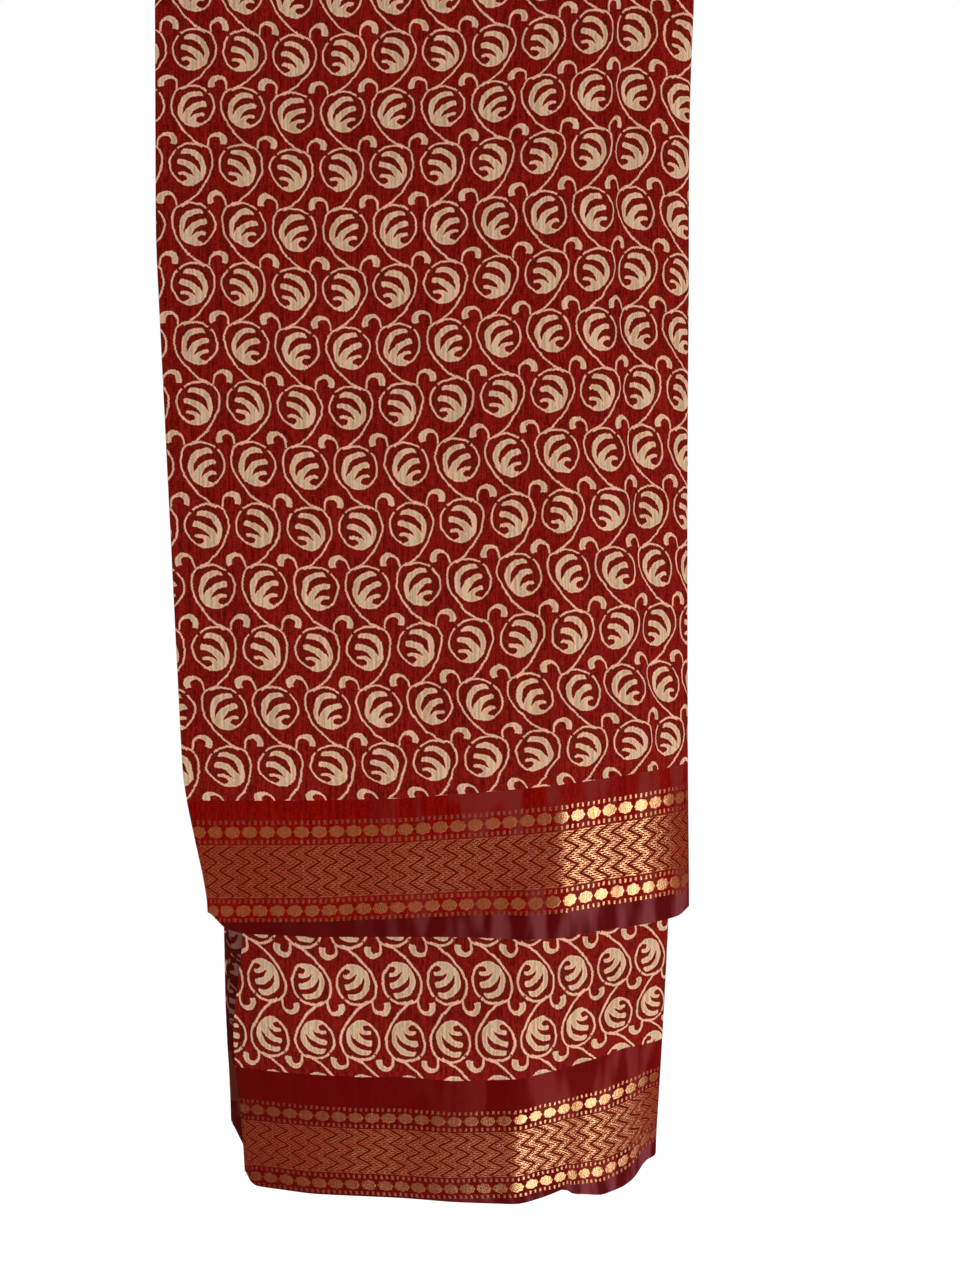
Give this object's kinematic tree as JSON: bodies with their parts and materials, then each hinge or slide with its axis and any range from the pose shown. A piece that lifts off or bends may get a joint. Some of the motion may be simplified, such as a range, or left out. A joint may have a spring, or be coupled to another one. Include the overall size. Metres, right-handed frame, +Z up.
{
  "type": "sari",
  "caption": "Block-printed sari with woven metal-thread borders, folded lengthwise into a strip and hung over a bar, its shorter drop in front.",
  "frame": {"origin": "on the underside of the fold, at the middle of the strip, where the top of the bar that it hangs over carries it", "axes": "+Z up, +X along the bar towards the round folded spine, +Y from the shorter front drop towards the longer rear drop"},
  "size_m": [0.2735, 0.0792, 0.6425],
  "materials": {
    "printed_cloth": "soft silk and cotton, red ground printed in cream",
    "zari_border": "woven copper-gold metal thread on red silk, maroon selvedge",
    "folded_layers": "the same red cloth, folded"
  },
  "bodies": {
    "root": {"front_field": "printed_cloth", "front_border": "zari_border", "crown_field": "printed_cloth", "back_field": "printed_cloth", "back_border": "zari_border", "hidden_layers": "folded_layers"}
  },
  "joints": []
}
